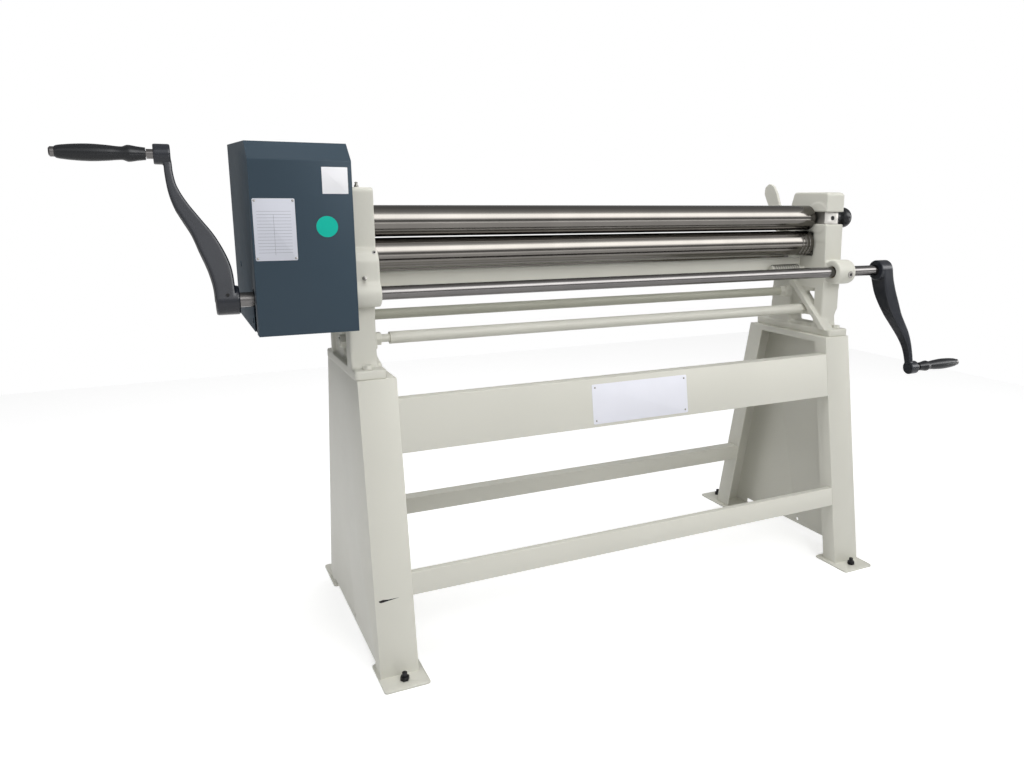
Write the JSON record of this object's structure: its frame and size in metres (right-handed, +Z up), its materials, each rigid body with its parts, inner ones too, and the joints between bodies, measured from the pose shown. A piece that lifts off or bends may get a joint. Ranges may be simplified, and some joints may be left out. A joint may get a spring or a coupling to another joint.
{
  "type": "slip roll machine",
  "caption": "Hand-cranked three-roll sheet bending machine: cast side frames with gear-driven rolls on a folded sheet steel stand",
  "frame": {"origin": "on the floor, below the middle of the machine's bounding box", "axes": "+X along the rolls to the right of an operator standing in front, +Y to the back, +Z up"},
  "size_m": [2.528, 0.77, 1.249],
  "materials": {
    "stand_paint": "semi-gloss cream-grey enamel, lightly textured on the castings",
    "olive_paint": "dull olive-grey enamel",
    "black_steel": "blackened steel fasteners",
    "cover_paint": "semi-gloss blue-grey enamel",
    "roll_steel": "ground and polished steel",
    "shaft_steel": "bright drawn steel",
    "block_iron": "machined grey iron",
    "gear_steel": "machined gear steel with a film of oil",
    "bronze": "turned bronze",
    "crank_black": "thick gloss black enamel over a casting",
    "grip_black": "turned hard black plastic"
  },
  "bodies": {
    "machine": {"anchor_nuts": "black_steel", "anchor_studs": "black_steel", "base_bolts": "stand_paint", "base_nuts": "stand_paint", "buffer_spring": "stand_paint", "cover_posts": "black_steel", "cover_screws": "cover_paint", "cross_bar": "stand_paint", "front_beam": "stand_paint", "front_lower_tie": "stand_paint", "front_tie_rod": "stand_paint", "gear_cover": "cover_paint", "grease_nipples": "shaft_steel", "left_front_foot": "stand_paint", "left_leg": "stand_paint", "left_rear_foot": "stand_paint", "left_side_frame": "stand_paint", "rear_lower_tie": "stand_paint", "rear_tie_rod": "olive_paint", "right_front_foot": "stand_paint", "right_leg": "stand_paint", "right_rear_foot": "stand_paint", "right_side_frame": "stand_paint", "shaft_bushes": "bronze", "sleeve_bush": "bronze", "spring_rod": "stand_paint", "tie_rod_nuts": "stand_paint"},
    "hand_shaft": {"hand_shaft": "shaft_steel", "left_crank": "crank_black", "right_crank": "crank_black", "drive_pinion": "gear_steel", "shaft_collar": "shaft_steel", "left_grip_bolt": "shaft_steel", "right_grip_bolt": "shaft_steel"},
    "left_grip": {"left_grip": "grip_black"},
    "right_grip": {"right_grip": "grip_black"},
    "drive_sleeve": {"drive_sleeve": "shaft_steel", "drive_wheel": "gear_steel", "top_roll_gear": "gear_steel", "sleeve_collar": "shaft_steel"},
    "top_roll_carrier": {"bearing_block": "shaft_steel", "bearing_block_bush": "bronze"},
    "top_roll": {"top_roll": "roll_steel", "drive_pin": "shaft_steel", "release_knob": "grip_black"},
    "pinch_carriage": {"left_pinch_block": "block_iron", "right_pinch_block": "block_iron", "pinch_bushes": "bronze"},
    "pinch_roll": {"pinch_roll": "roll_steel", "pinch_roll_gear": "gear_steel"},
    "left_pinch_screw": {"left_pinch_screw": "black_steel"},
    "right_pinch_screw": {"right_pinch_screw": "black_steel"},
    "bending_carriage": {"left_bending_block": "block_iron", "right_bending_block": "block_iron", "bending_bushes": "bronze"},
    "bending_roll": {"bending_roll": "roll_steel"},
    "left_bending_screw": {"left_bending_screw": "black_steel"},
    "right_bending_screw": {"right_bending_screw": "black_steel"},
    "release_lever": {"release_lever": "stand_paint"},
    "lock_plunger": {"lock_plunger": "shaft_steel"}
  },
  "joints": [
    {"name": "crank_spin", "type": "hinge", "parent": "machine", "child": "hand_shaft", "pos_m": [0.043, -0.204, 0.9027], "axis": [1, 0, 0], "continuous": true},
    {"name": "left_grip_spin", "type": "hinge", "parent": "hand_shaft", "child": "left_grip", "pos_m": [-1.157, -0.15, 1.2057], "axis": [1, 0, 0], "continuous": true},
    {"name": "right_grip_spin", "type": "hinge", "parent": "hand_shaft", "child": "right_grip", "pos_m": [1.143, -0.26, 0.5877], "axis": [1, 0, 0], "continuous": true},
    {"name": "drive_sleeve_spin", "type": "hinge", "parent": "machine", "child": "drive_sleeve", "pos_m": [-0.737, -0.096, 1.065], "axis": [1, 0, 0], "continuous": true},
    {"name": "top_roll_swing", "type": "hinge", "parent": "machine", "child": "top_roll_carrier", "pos_m": [-0.667, -0.096, 1.065], "axis": [0, 0, 1], "range_deg": [-6, 0]},
    {"name": "top_roll_spin", "type": "hinge", "parent": "top_roll_carrier", "child": "top_roll", "pos_m": [0.043, -0.096, 1.065], "axis": [1, 0, 0], "continuous": true},
    {"name": "pinch_adjust", "type": "slide", "parent": "machine", "child": "pinch_carriage", "axis": [0, 0, 1], "range_m": [-0.005, 0.0022]},
    {"name": "pinch_roll_spin", "type": "hinge", "parent": "pinch_carriage", "child": "pinch_roll", "pos_m": [0.043, -0.096, 0.9875], "axis": [1, 0, 0], "continuous": true},
    {"name": "bending_adjust", "type": "slide", "parent": "machine", "child": "bending_carriage", "axis": [0, 0, 1], "range_m": [0, 0.055]},
    {"name": "bending_roll_spin", "type": "hinge", "parent": "bending_carriage", "child": "bending_roll", "pos_m": [0.043, 0.016, 0.962], "axis": [1, 0, 0], "continuous": true},
    {"name": "left_pinch_screw_turn", "type": "hinge", "parent": "pinch_carriage", "child": "left_pinch_screw", "pos_m": [-0.677, -0.096, 0.9], "axis": [0, 0, 1], "range_deg": [-901, 397]},
    {"name": "right_pinch_screw_turn", "type": "hinge", "parent": "pinch_carriage", "child": "right_pinch_screw", "pos_m": [0.763, -0.096, 0.9], "axis": [0, 0, 1], "range_deg": [-901, 397]},
    {"name": "left_bending_screw_turn", "type": "hinge", "parent": "bending_carriage", "child": "left_bending_screw", "pos_m": [-0.677, 0.016, 0.86], "axis": [0, 0, 1], "range_deg": [0, 9901]},
    {"name": "right_bending_screw_turn", "type": "hinge", "parent": "bending_carriage", "child": "right_bending_screw", "pos_m": [0.763, 0.016, 0.86], "axis": [0, 0, 1], "range_deg": [0, 9901]},
    {"name": "release_lever_lift", "type": "hinge", "parent": "machine", "child": "release_lever", "pos_m": [0.743, 0.012, 1.065], "axis": [1, 0, 0], "range_deg": [0, 50]},
    {"name": "lock_plunger_travel", "type": "slide", "parent": "machine", "child": "lock_plunger", "axis": [0, 1, 0], "range_m": [0, 0.005]}
  ],
  "couplings": [
    {"joint": "drive_sleeve_spin", "follows": "crank_spin", "ratio": -0.2381},
    {"joint": "top_roll_spin", "follows": "crank_spin", "ratio": -0.2381},
    {"joint": "pinch_roll_spin", "follows": "crank_spin", "ratio": 0.2381},
    {"joint": "left_pinch_screw_turn", "follows": "pinch_adjust", "rad_per_m": 3141.6},
    {"joint": "right_pinch_screw_turn", "follows": "pinch_adjust", "rad_per_m": 3141.6},
    {"joint": "left_bending_screw_turn", "follows": "bending_adjust", "rad_per_m": 3141.6},
    {"joint": "right_bending_screw_turn", "follows": "bending_adjust", "rad_per_m": 3141.6},
    {"joint": "lock_plunger_travel", "follows": "release_lever_lift", "m_per_rad": 0.0057295}
  ]
}
